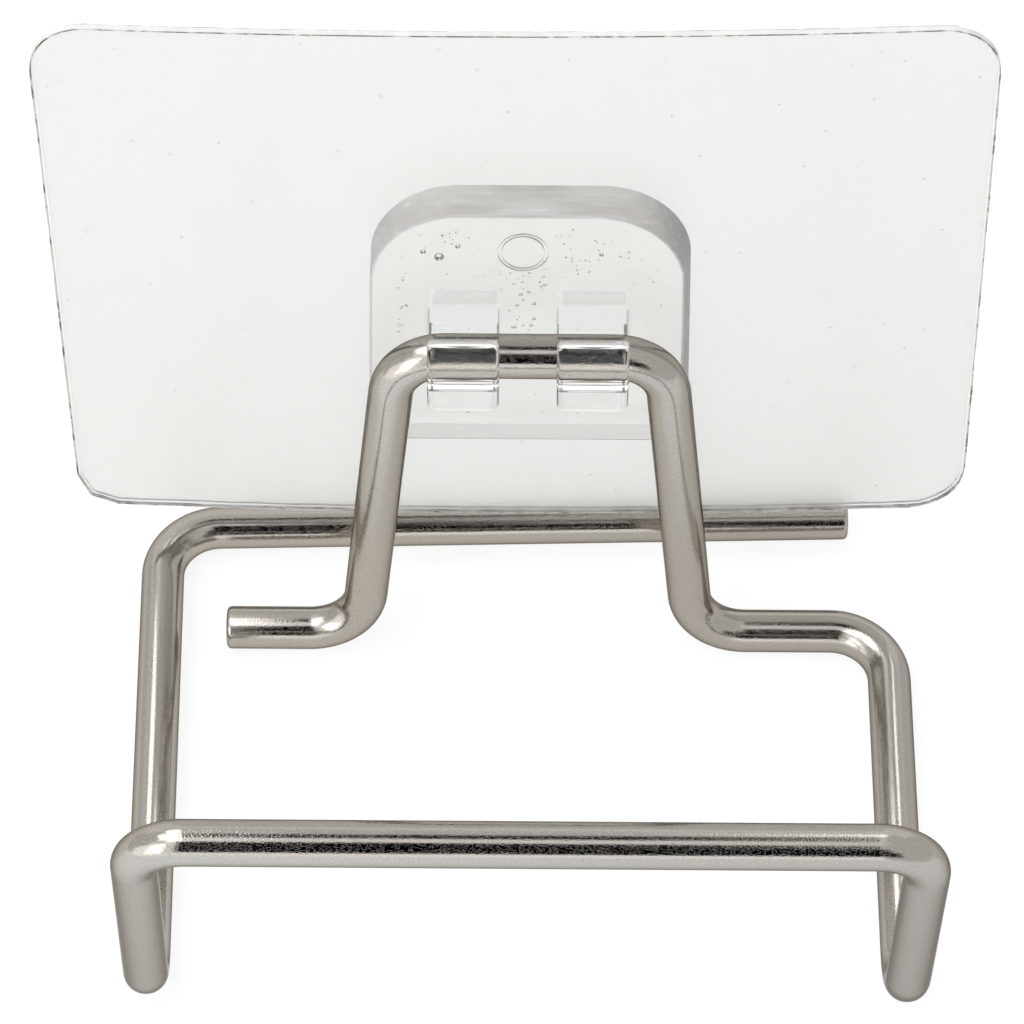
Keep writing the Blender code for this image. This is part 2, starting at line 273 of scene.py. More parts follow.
def bevel(width, steps, affect="EDGES"):
    bpy.ops.mesh.bevel(offset=width, offset_type="OFFSET", segments=steps, affect=affect,
                       clamp_overlap=True)


def extrude(move):
    bpy.ops.mesh.extrude_region_move(TRANSFORM_OT_translate={"value": move})


def face_outwards():
    bpy.ops.mesh.select_all(action="SELECT")
    bpy.ops.mesh.normals_make_consistent(inside=False)


def apply_all(piece):
    activate(piece)
    for modifier in list(piece.modifiers):
        bpy.ops.object.modifier_apply(modifier=modifier.name)


def boolean(piece, tool, operation):
    """Cut or join with a tool, which is used up."""
    modifier = piece.modifiers.new(tool.name, "BOOLEAN")
    modifier.operation = operation
    modifier.solver = "EXACT"
    modifier.object = tool
    apply_all(piece)
    bpy.data.objects.remove(tool)


def smooth(piece, degrees):
    activate(piece)
    bpy.ops.object.shade_smooth_by_angle(angle=math.radians(degrees))


def hand_over(piece, body, node):
    """The piece takes its CAD node's place and its body."""
    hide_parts(node)
    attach(piece, body)


# Materials


def linear(hex_colour):
    """A six-digit sRGB hex value as a linear colour."""
    parts = [int(hex_colour[i:i + 2], 16) / 255 for i in (1, 3, 5)]
    return [c / 12.92 if c <= 0.04045 else ((c + 0.055) / 1.055) ** 2.4 for c in parts] + [1.0]


def new_tree(name):
    made = bpy.data.materials.new(name)
    made.use_nodes = True
    made.node_tree.nodes.clear()
    return made, made.node_tree


def add(tree, kind, links=None, **settings):
    """One node, with its settings, its input values, its colour ramp and its links from other nodes."""
    made = tree.nodes.new("ShaderNode" + kind)
    for key, value in settings.items():
        if key not in ("inputs", "ramp"):
            setattr(made, key, value)
    for key, value in settings.get("inputs", {}).items():
        made.inputs[key].default_value = value
    for position, colour in settings.get("ramp", []):
        stops = made.color_ramp.elements
        stop = stops[0] if position == settings["ramp"][0][0] else stops.new(position)
        stop.position = position
        stop.color = colour
    if settings.get("ramp"):
        made.color_ramp.elements.remove(made.color_ramp.elements[-1])
    for key, output in (links or {}).items():
        tree.links.new(output, made.inputs[key])
    return made


def drawn_stainless():
    """Stainless wire, drawn through a die and barrel polished: warm grey and mirror like, slightly wavy,
    with tiny dents from the tumbling that break the edges of its reflections into sparks."""
    made, tree = new_tree("polished_stainless_wire")
    place = add(tree, "UVMap", uv_map="along_wire")
    wave_map = add(tree, "Mapping", {"Vector": place.outputs[0]},
                   inputs={"Scale": (1 / WAVE_LENGTH, 1 / WAVE_WIDTH, 1.0)})
    waves = add(tree, "TexNoise", {"Vector": wave_map.outputs[0]}, inputs={"Scale": 1.0, "Detail": 1.0})
    wavy = add(tree, "Bump", {"Height": waves.outputs["Fac"]},
               inputs={"Strength": 1.0, "Distance": WAVE_DEPTH * MM})
    dent_map = add(tree, "Mapping", {"Vector": place.outputs[0]},
                   inputs={"Scale": (1 / DENT_LENGTH, 1 / DENT_WIDTH, 1.0)})
    dents = add(tree, "TexVoronoi", {"Vector": dent_map.outputs[0]}, inputs={"Scale": 1.0})
    bowl = add(tree, "Math", {0: dents.outputs["Distance"]}, operation="MINIMUM", inputs={1: DENT_SIZE})
    chance = add(tree, "SeparateXYZ", {0: dents.outputs["Color"]})
    chosen = add(tree, "Math", {0: chance.outputs["X"]}, operation="GREATER_THAN",
                 inputs={1: DENT_GAPS})
    depth = add(tree, "Math", {0: bowl.outputs[0], 1: chosen.outputs[0]}, operation="MULTIPLY")
    sparks = add(tree, "Bump", {"Height": depth.outputs[0], "Normal": wavy.outputs["Normal"]},
                 inputs={"Strength": 1.0, "Distance": DENT_DEPTH * MM})
    grain_map = add(tree, "Mapping", {"Vector": place.outputs[0]},
                    inputs={"Scale": (1 / GRAIN_LENGTH, 1 / GRAIN_WIDTH, 1.0)})
    grain = add(tree, "TexNoise", {"Vector": grain_map.outputs[0]}, inputs={"Scale": 1.0, "Detail": 3.0})
    grained = add(tree, "Bump", {"Height": grain.outputs["Fac"], "Normal": sparks.outputs["Normal"]},
                  inputs={"Strength": 1.0, "Distance": GRAIN_DEPTH * MM})
    rubbed = add(tree, "TexNoise", {"Vector": wave_map.outputs[0]}, inputs={"Scale": 2.3, "Detail": 4.0})
    rough = add(tree, "MapRange", {"Value": rubbed.outputs["Fac"]},
                inputs={"From Min": 0.35, "From Max": 0.7, "To Min": 0.08, "To Max": 0.14})
    tone = add(tree, "ValToRGB", {"Fac": grain.outputs["Fac"]},
               ramp=[(0.32, linear("#AEA9A2")), (0.5, linear("#B4AFA8")), (0.68, linear("#BAB5AE"))])
    shader = add(tree, "BsdfPrincipled", {
        "Base Color": tone.outputs["Color"], "Roughness": rough.outputs[0],
        "Normal": grained.outputs["Normal"]},
        inputs={"Metallic": 1.0, "Specular Tint": linear("#9C9893")})
    add(tree, "OutputMaterial", {"Surface": shader.outputs[0]})
    return made


def clear_moulding():
    """Clear PVC, injection moulded: glossy, with faint flow waves."""
    made, tree = new_tree("clear_moulded_pvc")
    place = add(tree, "TexCoord")
    waves = add(tree, "TexNoise", {"Vector": place.outputs["Object"]},
                inputs={"Scale": FLOW_WAVES / MM, "Detail": 2.0})
    bump = add(tree, "Bump", {"Height": waves.outputs["Fac"]},
               inputs={"Strength": 0.06, "Distance": FLOW_DEPTH * MM})
    shader = add(tree, "BsdfPrincipled", {"Normal": bump.outputs["Normal"]}, inputs={
        "Base Color": linear("#FFFFFE"), "Roughness": 0.03, "IOR": 1.53, "Transmission Weight": 1.0,
        "Specular Tint": linear("#595959")})
    add(tree, "OutputMaterial", {"Surface": shader.outputs[0]})
    return made


def satin_moulding():
    """The same PVC where the mould's draft sides left it satin: milky grey, with fine streaks."""
    made, tree = new_tree("satin_moulded_pvc")
    place = add(tree, "TexCoord")
    streak_map = add(tree, "Mapping", {"Vector": place.outputs["Object"]},
                     inputs={"Scale": [repeats / MM for repeats in SATIN_STREAKS]})
    streaks = add(tree, "TexNoise", {"Vector": streak_map.outputs[0]},
                  inputs={"Scale": 1.0, "Detail": 3.0})
    tone = add(tree, "ValToRGB", {"Fac": streaks.outputs["Fac"]},
               ramp=[(0.3, linear("#E4E1DE")), (0.62, linear("#EEECE9")), (0.75, linear("#FEFDFC"))])
    shader = add(tree, "BsdfPrincipled", {"Base Color": tone.outputs["Color"]}, inputs={
        "Roughness": 0.45, "IOR": 1.53, "Transmission Weight": 0.37})
    add(tree, "OutputMaterial", {"Surface": shader.outputs[0]})
    return made


def hazy_film(name, colour, roughness, grain_mm):
    """A flexible film that lets light through but blurs what is behind it, with dust and grain in it."""
    made, tree = new_tree(name)
    place = add(tree, "TexCoord")
    grain = add(tree, "TexNoise", {"Vector": place.outputs["Object"]},
                inputs={"Scale": 1.0 / (grain_mm * MM), "Detail": 3.0})
    bump = add(tree, "Bump", {"Height": grain.outputs["Fac"]},
               inputs={"Strength": 0.25, "Distance": FILM_DEPTH * MM})
    dust = add(tree, "TexVoronoi", {"Vector": place.outputs["Object"]},
               inputs={"Scale": DUST_SPECKS / MM})
    specks = add(tree, "ValToRGB", {"Fac": dust.outputs["Distance"]},
                 ramp=[(0.0, linear("#A9A9A6")), (0.035, linear("#DADAD8")), (0.06, linear(colour))])
    fine = add(tree, "TexNoise", {"Vector": place.outputs["Object"]},
               inputs={"Scale": 1.0 / (FILM_GRAIN * MM), "Detail": 3.0})
    mottle = add(tree, "ValToRGB", {"Fac": fine.outputs["Fac"]},
                 ramp=[(0.3, linear("#FAFAF9")), (0.7, linear("#FFFFFF"))])
    tone = add(tree, "MixRGB", {1: specks.outputs["Color"], 2: mottle.outputs["Color"]},
               blend_type="MULTIPLY", inputs={"Fac": 1.0})
    shader = add(tree, "BsdfPrincipled", {
        "Normal": bump.outputs["Normal"], "Base Color": tone.outputs["Color"]},
        inputs={"Roughness": roughness, "IOR": 1.45, "Transmission Weight": 1.0})
    add(tree, "OutputMaterial", {"Surface": shader.outputs[0]})
    return made


def cut_edge(name, dark, middle, light):
    """The film's edge where a blade pinched it: grey and broken, so it reads as a thin line, and darker
    along the top than lower down."""
    made, tree = new_tree(name)
    place = add(tree, "TexCoord")
    breaks = add(tree, "TexNoise", {"Vector": place.outputs["Object"]},
                 inputs={"Scale": 1.0 / (EDGE_BREAKS * MM), "Detail": 4.0})
    height = add(tree, "SeparateXYZ", {0: place.outputs["Object"]})
    # The edge line is made paler lower down and darker along the top, by height alone
    paler_below = add(tree, "MapRange", {"Value": height.outputs["Z"]}, inputs={
        "From Min": PALER_EDGE_BELOW * MM, "From Max": DARKER_EDGE_ABOVE * MM, "To Min": 0.10, "To Max": 0.0})
    paler = add(tree, "Math", {0: breaks.outputs["Fac"], 1: paler_below.outputs[0]}, operation="ADD")
    tone = add(tree, "ValToRGB", {"Fac": paler.outputs[0]},
               ramp=[(0.45, linear(dark)), (0.52, linear(middle)), (0.60, linear(light))])
    shader = add(tree, "BsdfPrincipled", {"Base Color": tone.outputs["Color"]},
                 inputs={"Roughness": 0.5, "IOR": 1.45, "Transmission Weight": 0.2})
    add(tree, "OutputMaterial", {"Surface": shader.outputs[0]})
    return made


# Wire


def wire_corners():
    """The wire's axis from the left foot's free end to the rear bar's, with the radius of each bend."""
    side = TRAY_WIDTH / 2
    foot = TOP_BAR_HALF + RISER_SPREAD
    foot_depth = TRAY_DEPTH - FOOT_SETBACK
    corners = [
        ((-foot - LEFT_FOOT_LENGTH, foot_depth, 0.0), 0.0),
        ((-foot, foot_depth, 0.0), 5.4),
        ((-TOP_BAR_HALF, TOP_BAR_DEPTH, TOP_BAR_HEIGHT), 4.9),
        ((TOP_BAR_HALF, TOP_BAR_DEPTH, TOP_BAR_HEIGHT), 4.9),
        ((foot, foot_depth, 0.0), 5.4),
        ((side, foot_depth, 0.0), 5.4),
        ((side, -FRONT_SKEW / 2, 0.0), 4.6),
        ((side, -FRONT_LEAN, FRONT_HEIGHT), 4.6),
        ((-side + FRONT_BAR_TUCK, -FRONT_LEAN, FRONT_HEIGHT), 4.6),
        ((-side, FRONT_SKEW / 2, 0.0), 3.2),
        ((-side - LEFT_RAIL_SPLAY, TRAY_DEPTH - REAR_BAR_SKEW / 2, 0.0), 5.4),
        ((side - REAR_BAR_END_GAP, TRAY_DEPTH + REAR_BAR_SKEW / 2, 0.0), 0.0),
    ]
    return [(Vector(point), radius) for point, radius in corners]


def end_sections():
    """Distance from the cut end and radius of each ring that rounds it."""
    angles = [math.pi / 2 * step / END_STEPS for step in range(END_STEPS + 1)]
    return [(WIRE_END_ROUNDING * (1 - math.sin(a)), WIRE_RADIUS - WIRE_END_ROUNDING * (1 - math.cos(a)))
            for a in angles]


def next_ring(here, there, size, new_size):
    """Extrude the open ring from one place on the wire's axis to the next, and give it its new radius."""
    extrude(there - here)
    if new_size != size:
        bpy.ops.transform.resize(value=(new_size / size,) * 3, center_override=there)
    return there, new_size


def bent_wire():
    """A small ring grows into the rounded cut end, is drawn along each run and spun round each bend."""
    corners = wire_corners()
    here = corners[0][0]
    heading = (corners[1][0] - here).normalized()
    start, sections = here, end_sections()
    size = sections[-1][1]
    deselect()
    bpy.ops.mesh.primitive_circle_add(vertices=WIRE_SIDES, radius=size, location=here,
                                      rotation=heading.to_track_quat("Z", "Y").to_euler())
    wire = named("wire")
    wire.data.materials.append(drawn_stainless())
    for distance, new_size in reversed(sections[:-1]):
        here, size = next_ring(here, start + heading * distance, size, new_size)
    for (before, _), (corner, bend), (after, _) in zip(corners, corners[1:], corners[2:]):
        back = (before - corner).normalized()
        ahead = (after - corner).normalized()
        half = back.angle(ahead) / 2
        run = bend / math.tan(half)
        next_ring(here, corner + back * run, size, size)
        bpy.ops.mesh.spin(steps=BEND_STEPS, angle=math.pi - 2 * half, axis=back.cross(ahead),
                          center=corner + (back + ahead).normalized() * bend / math.sin(half))
        here = corner + ahead * run
    end = corners[-1][0]
    heading = (end - here).normalized()
    for distance, new_size in sections:
        here, size = next_ring(here, end - heading * distance, size, new_size)
    bpy.ops.mesh.select_all(action="SELECT")
    bpy.ops.mesh.fill_holes(sides=0)
    bpy.ops.mesh.normals_make_consistent(inside=False)
    leave()
    lay_wire_map(wire)
    wire.data.transform(Matrix.Translation(TRAY) @ Matrix.Scale(MM, 4))
    smooth(wire, 40)
    return wire


def lay_wire_map(wire):
    """A UV map in millimetres: distance along the wire, and distance round it."""
    points = [v.co.copy() for v in wire.data.vertices]
    rings = [points[i:i + WIRE_SIDES] for i in range(0, len(points), WIRE_SIDES)]
    centres = [sum(ring, Vector()) / WIRE_SIDES for ring in rings]
    along = [0.0]
    for a, b in zip(centres, centres[1:]):
        along.append(along[-1] + (b - a).length)
    girth = 2 * math.pi * WIRE_RADIUS
    layer = wire.data.uv_layers.new(name="along_wire")
    for polygon in wire.data.polygons:
        places = [divmod(v, WIRE_SIDES) for v in polygon.vertices]
        wraps = len(places) == 4 and {place for _, place in places} >= {0, WIRE_SIDES - 1}
        for loop, (ring, place) in zip(polygon.loop_indices, places):
            turn = WIRE_SIDES if wraps and place == 0 else place
            layer.data[loop].uv = (along[ring], girth * turn / WIRE_SIDES)


# Plate


def slab(name, corners, front, thickness):
    """A slab in the plate's axes. Corners are (x, z, radius, steps), and its front faces -y."""
    deselect()
    bpy.ops.mesh.primitive_plane_add(size=2, rotation=(math.pi / 2, 0.0, 0.0))
    made = named(name)
    shape = bmesh.from_edit_mesh(made.data)
    for vertex in shape.verts:
        match = [c for c in corners
                 if (c[0] > 0) == (vertex.co.x > 0) and (c[1] > 0) == (vertex.co.z > 0)][0]
        vertex.co = (match[0], front, match[1])
    bmesh.update_edit_mesh(made.data)
    for x, z, radius, steps in corners:
        pick(made, "verts", lambda p: abs(p.x - x) < NEAR and abs(p.z - z) < NEAR)
        bevel(radius, steps, "VERTICES")
    bpy.ops.mesh.select_mode(type="FACE")
    bpy.ops.mesh.select_all(action="SELECT")
    if thickness:
        extrude((0.0, thickness, 0.0))
        face_outwards()
    return made


def block(name, low, high):
    deselect()
    low, high = Vector(low), Vector(high)
    bpy.ops.mesh.primitive_cube_add(size=1, location=(low + high) / 2, scale=high - low)
    return named(name)


def rod(name, radius, length, centre, turn):
    deselect()
    bpy.ops.mesh.primitive_cylinder_add(vertices=ROD_SIDES, radius=radius, depth=length,
                                        location=centre, rotation=turn)
    return named(name)


def window_cutter(side, centre):
    """The window behind a hook, with a rounded rim at the pad's face."""
    half = HOOK_WIDTH / 2 - WINDOW_SIDE_STEP
    back = PAD_FACE + PAD_THICKNESS + CUT_MARGIN
    middle_z = (WINDOW_HEIGHT - SLOT_RADIUS) / 2
    half_z = (WINDOW_HEIGHT + SLOT_RADIUS) / 2
    corners = [(x, z, WINDOW_CORNER_RADIUS, EDGE_STEPS)
               for x in (-half, half) for z in (-half_z, half_z)]
    cutter = slab("window_" + side, corners, back, 0)
    rim = PAD_FACE + WINDOW_RIM
    extrude((0.0, rim - back, 0.0))
    here, grown = rim, 0.0
    for step in range(1, EDGE_STEPS + 1):
        angle = math.pi / 2 * step / EDGE_STEPS
        there = PAD_FACE + WINDOW_RIM * (1 - math.sin(angle))
        wider = WINDOW_RIM * (1 - math.cos(angle))
        extrude((0.0, there - here, 0.0))
        ratio = ((half + wider) / (half + grown), 1.0, (half_z + wider) / (half_z + grown))
        bpy.ops.transform.resize(value=ratio, center_override=(0.0, there, 0.0))
        here, grown = there, wider
    extrude((0.0, -CUT_MARGIN, 0.0))
    face_outwards()
    leave()
    cutter.data.transform(Matrix.Translation((centre, 0.0, middle_z)))
    return cutter


def hook_setback(z):
    """How far the hook's front lies behind its flat middle: a round heel, and a lip that thins upwards."""
    below = -SLOT_RADIUS - HOOK_WALL + HOOK_HEEL_RADIUS - z
    above = z - LIP_TAPER_START
    if below > 0:
        return HOOK_HEEL_RADIUS - math.sqrt(max(HOOK_HEEL_RADIUS ** 2 - below ** 2, 0.0))
    if above > 0:
        return LIP_TAPER_RADIUS - math.sqrt(LIP_TAPER_RADIUS ** 2 - above ** 2)
    return 0.0


def hook(side, centre):
    """A J hook: a rounded block with a bowed front, cut by the slot that the wire lies in."""
    half = HOOK_WIDTH / 2
    outer = SLOT_RADIUS + HOOK_WALL
    root = PAD_FACE + PAD_THICKNESS / 2
    made = block("hook_" + side, (centre - half, -outer, -outer), (centre + half, root, HOOK_LIP_HEIGHT))
    for end_z, radius in ((-outer, HOOK_CORNER_RADIUS), (HOOK_LIP_HEIGHT, LIP_CORNER_RADIUS)):
        for side_x in (centre - half, centre + half):
            pick(made, "edges", lambda p: abs(p.x - side_x) < NEAR and abs(p.z - end_z) < NEAR)
            bevel(radius, CORNER_STEPS)
    pick(made, "edges", lambda p: abs(p.y + outer) < NEAR)
    bevel(HOOK_EDGE_RADIUS, EDGE_STEPS)
    for cut in range(1, HOOK_SLICES):
        height = -outer + (outer + HOOK_LIP_HEIGHT) * cut / HOOK_SLICES
        bpy.ops.mesh.select_all(action="SELECT")
        bpy.ops.mesh.bisect(plane_co=(0, 0, height), plane_no=(0, 0, 1))
    shape = bmesh.from_edit_mesh(made.data)
    for vertex in shape.verts:
        if vertex.co.y < -outer + HOOK_EDGE_RADIUS + NEAR:
            vertex.co.y += hook_setback(vertex.co.z)
    bmesh.update_edit_mesh(made.data)
    leave()
    far_corner = (centre + HOOK_WIDTH, root + CUT_MARGIN, SLOT_TOP)
    slot = block("slot", (centre - HOOK_WIDTH, -SLOT_RADIUS, 0.0), far_corner)
    leave()
    shelf = block("slot_floor", (centre - HOOK_WIDTH, 0.0, -SLOT_RADIUS), far_corner)
    leave()
    trough = rod("trough", SLOT_RADIUS, 2 * HOOK_WIDTH, (centre, 0.0, 0.0), (0.0, math.pi / 2, 0.0))
    leave()
    boolean(slot, shelf, "UNION")
    boolean(slot, trough, "UNION")
    boolean(made, slot, "DIFFERENCE")
    return made


def mould_mark():
    """A plain ring mark: a shallow round groove in the pad's face."""
    place = (PAD_SHIFT + MARK_SHIFT, PAD_FACE, MARK_HEIGHT)
    ring = rod("mark", MARK_RADIUS, 2 * MARK_DEPTH, place, (math.pi / 2, 0.0, 0.0))
    leave()
    core = rod("mark_core", MARK_RADIUS - MARK_RING_WIDTH, 2 * MARK_DEPTH + CUT_MARGIN, place,
               (math.pi / 2, 0.0, 0.0))
    leave()
    boolean(ring, core, "DIFFERENCE")
    return ring


def solid_there(x, z, radius):
    """Whether a bubble at this place lies inside the pad's plain part, clear of its windows and sides."""
    margin = radius + BUBBLE_SKIN
    for sign in (-1, 1):
        beside = abs(x - PAD_SHIFT - sign * HOOK_SPACING / 2) - HOOK_WIDTH / 2
        if beside < margin and -SLOT_RADIUS - margin < z < WINDOW_HEIGHT + WINDOW_RIM + margin:
            return False
    return abs(x - PAD_SHIFT) < PAD_TOP_HALF - PAD_RIGHT_DRAFT - margin


def bubbles(finish):
    """Air bubbles trapped in the moulding: small closed cavities, whose faces look into them."""
    random.seed(7)
    deselect()
    bpy.ops.mesh.primitive_ico_sphere_add(subdivisions=2, radius=1.0)
    first = named("bubble")
    bpy.ops.mesh.flip_normals()
    leave()
    first.data.materials.append(finish)
    smooth(first, 60)
    made = []
    for across, up, reach_x, reach_z, count, smallest, largest in BUBBLES:
        for _ in range(count):
            radius = random.uniform(smallest, largest)
            x = across + random.uniform(-reach_x, reach_x)
            z = up + random.uniform(-reach_z, reach_z)
            depth = random.uniform(radius + BUBBLE_SKIN, PAD_THICKNESS / 2)
            flatness = random.uniform(BUBBLE_FLATNESS, 1.0)
            if not solid_there(x, z, radius):
                continue
            bubble = first.copy()
            bubble.data = first.data.copy()
            place = Matrix.Translation((x, PAD_FACE + depth, z))
            bubble.data.transform(place @ Matrix.Diagonal((radius, radius * flatness, radius, 1.0)))
            bpy.context.scene.collection.objects.link(bubble)
            made.append(bubble)
    bpy.data.objects.remove(first)
    return made


def hook_pad():
    """The clear pad: rounded at the top, with windows, hooks and the mould's mark."""
    corners = [
        (PAD_SHIFT - PAD_BOTTOM_HALF, -PAD_BELOW_BAR, PAD_BOTTOM_RADIUS, CORNER_STEPS),
        (PAD_SHIFT + PAD_BOTTOM_HALF + PAD_RIGHT_WIDER, -PAD_BELOW_BAR, PAD_BOTTOM_RADIUS, CORNER_STEPS),
        (PAD_SHIFT + PAD_TOP_HALF + PAD_RIGHT_WIDER, PAD_ABOVE_BAR, PAD_TOP_RADIUS, PAD_TOP_STEPS),
        (PAD_SHIFT - PAD_TOP_HALF, PAD_ABOVE_BAR, PAD_TOP_RADIUS, PAD_TOP_STEPS),
    ]
    pad = slab("clear_hook_pad", corners, PAD_FACE, PAD_THICKNESS)
    clear = clear_moulding()
    for finish in (clear, satin_moulding()):
        pad.data.materials.append(finish)
    shape = bmesh.from_edit_mesh(pad.data)
    for face in shape.faces:
        front_or_back = abs(face.normal.y) >= 0.5
        underside = face.normal.z <= -0.5
        face.material_index = CLEAR if front_or_back or underside else SATIN
    left = PAD_SHIFT - PAD_BOTTOM_HALF
    for vertex in shape.verts:
        if abs(vertex.co.y - PAD_FACE) < NEAR:
            vertex.co.x -= PAD_RIGHT_DRAFT * (vertex.co.x - left) / (2 * PAD_BOTTOM_HALF)
    bmesh.update_edit_mesh(pad.data)
    pick(pad, "edges", lambda p: abs(p.y - PAD_FACE) < NEAR)
    bevel(PAD_EDGE_RADIUS, EDGE_STEPS)
    shape = bmesh.from_edit_mesh(pad.data)
    for face in shape.faces:
        rounded_edge = -0.99 < face.normal.y < -0.05
        if rounded_edge:
            face.material_index = SATIN
    bmesh.update_edit_mesh(pad.data)
    leave()
    for side, sign in (("left", -1), ("right", 1)):
        centre = PAD_SHIFT + sign * HOOK_SPACING / 2
        boolean(pad, window_cutter(side, centre), "DIFFERENCE")
        boolean(pad, hook(side, centre), "UNION")
    boolean(pad, mould_mark(), "DIFFERENCE")
    for face in pad.data.polygons:
        off_mark = math.hypot(face.center.x - PAD_SHIFT - MARK_SHIFT, face.center.z - MARK_HEIGHT)
        deep = face.center.y - PAD_FACE
        groove_wall = off_mark < MARK_RADIUS + NEAR and NEAR < deep < MARK_DEPTH - NEAR
        if groove_wall:
            face.material_index = SATIN
    smooth(pad, 32)
    cavities = bubbles(clear)
    deselect()
    for piece in [pad] + cavities:
        piece.select_set(True)
    bpy.context.view_layer.objects.active = pad
    bpy.ops.object.join()
    flat = pad.modifiers.new("flat_faces", "WEIGHTED_NORMAL")
    flat.weight = 100
    flat.keep_sharp = True
    apply_all(pad)
    pad.data.transform(PLATE)
    return pad


def layer(name, inset, front, thickness, seed, finishes):
    """A thin layer of the plate: cut with a slightly ragged edge, and curled back towards its sides. Its
    finishes are the film's own, that of a thin line round its faces, and that of its rim."""
    half = SHEET_WIDTH / 2 - inset
    radius = SHEET_CORNER_RADIUS - inset
    top = SHEET_ABOVE_BAR - inset
    bottom = -SHEET_BELOW_BAR + inset
    corners = [(x, z, radius, CORNER_STEPS) for x, z in ((half, bottom), (half, top), (-half, top))]
    corners.insert(0, (-half, bottom, TRIMMED_CORNER_RADIUS - inset, TRIMMED_CORNER_STEPS))
    made = slab(name, corners, 0.0, 0)
    for finish in finishes:
        made.data.materials.append(finish)
    bpy.ops.mesh.inset(thickness=EDGE_LINE)
    shape = bmesh.from_edit_mesh(made.data)
    for face in shape.faces:
        face.material_index = FILM if face.select else CUT
    bmesh.update_edit_mesh(made.data)
    for axis, low, high in (((1, 0, 0), -half, half), ((0, 0, 1), bottom, top)):
        count = round((high - low) / GRID_PITCH)
        for i in range(1, count):
            bpy.ops.mesh.select_all(action="SELECT")
            place = Vector(axis) * (low + (high - low) * i / count)
            bpy.ops.mesh.bisect(plane_co=place, plane_no=axis)
    leave()
    shape = bmesh.new()
    shape.from_mesh(made.data)
    middle_z = (top + bottom) / 2
    for vertex in shape.verts:
        if vertex.is_boundary:
            waves = noise.noise(vertex.co * EDGE_WAVES + Vector((seed, 0.0, 0.0)))
            teeth = noise.noise(vertex.co * EDGE_TEETH + Vector((0.0, seed, 0.0)))
            outward = Vector((vertex.co.x / half, 0.0, (vertex.co.z - middle_z) / (top - middle_z)))
            vertex.co += outward * EDGE_RAGGEDNESS * (waves + 0.6 * teeth)
    shape.to_mesh(made.data)
    shape.free()
    thick = made.modifiers.new("thickness", "SOLIDIFY")
    thick.thickness = thickness
    thick.offset = -1.0
    thick.material_offset_rim = 1
    apply_all(made)
    turn = Matrix.Rotation(-SHEET_SKEW, 4, "Y")
    for vertex in made.data.vertices:
        across = vertex.co.x
        curl = SHEET_CURL * (across / (SHEET_WIDTH / 2)) ** 2 + math.sin(SHEET_TWIST) * across
        vertex.co.y += front + curl
        vertex.co.x += SHEET_SHIFT
        vertex.co = turn @ vertex.co
    activate(made)
    bpy.ops.object.mode_set(mode="EDIT")
    face_outwards()
    leave()
    made.data.transform(PLATE)
    smooth(made, 35)
    return made


# Stage


def floor_material():
    """White to the eye, with the object's shadow. Mirrored, it shows a painted reflection: bright in front
    of the tray and to the left, with painted shade inside the tray and painted light dimming towards the
    right."""
    made, tree = new_tree("pale_floor")
    path = add(tree, "LightPath")
    seen = add(tree, "Math", {0: path.outputs["Is Camera Ray"], 1: path.outputs["Is Glossy Ray"]},
               operation="MAXIMUM")
    seen = add(tree, "Math", {0: seen.outputs[0], 1: path.outputs["Is Transmission Ray"]},
               operation="MAXIMUM")
    place = add(tree, "TexCoord")
    parts = add(tree, "SeparateXYZ", {0: place.outputs["Object"]})
    inward = add(tree, "MapRange", {"Value": parts.outputs["Y"]}, interpolation_type="SMOOTHSTEP",
                 inputs={"From Min": FLOOR_INWARD[0] * MM, "From Max": FLOOR_INWARD[1] * MM})
    # Painted reflection: the floor in front mirrors bright and cool, and painted shade inside the tray
    # makes it dull and warm
    painted_reflection = add(tree, "MixRGB", {"Fac": inward.outputs[0]},
                inputs={1: (0.98, 1.03, 1.08, 1.0), 2: (0.76, 0.75, 0.72, 1.0)})
    # Painted light: the mirrored floor is brighter to the left, towards the lamp, and dimmer to the right
    across = add(tree, "MapRange", {"Value": parts.outputs["X"]}, interpolation_type="SMOOTHSTEP", inputs={
        "From Min": FLOOR_ACROSS[0] * MM, "From Max": FLOOR_ACROSS[1] * MM,
        "To Min": 1.05, "To Max": 0.86})
    painted_reflection = add(tree, "VectorMath", {0: painted_reflection.outputs[0], "Scale": across.outputs[0]}, operation="SCALE")
    mirrored = add(tree, "Math", {0: path.outputs["Is Glossy Ray"], 1: path.outputs["Is Transmission Ray"]},
                   operation="GREATER_THAN")
    plain = add(tree, "MixRGB", {"Fac": path.outputs["Is Transmission Ray"]},
                inputs={1: (0.86, 0.86, 0.86, 1.0), 2: (0.90, 0.90, 0.90, 1.0)})
    colour = add(tree, "MixRGB", {"Fac": mirrored.outputs[0], 1: plain.outputs[0], 2: painted_reflection.outputs[0]})
    diffuse = add(tree, "BsdfDiffuse", inputs={"Color": linear("#7C7C7C")})
    light = add(tree, "Emission", {"Strength": seen.outputs[0], "Color": colour.outputs[0]})
    both = add(tree, "AddShader", {0: diffuse.outputs[0], 1: light.outputs[0]})
    add(tree, "OutputMaterial", {"Surface": both.outputs[0]})
    return made


def stage():
    deselect()
    bpy.ops.mesh.primitive_plane_add(size=3.0, location=(0.0, 0.0, 0.0))
    floor = bpy.context.object
    floor.name = "floor"
    floor.data.materials.append(floor_material())


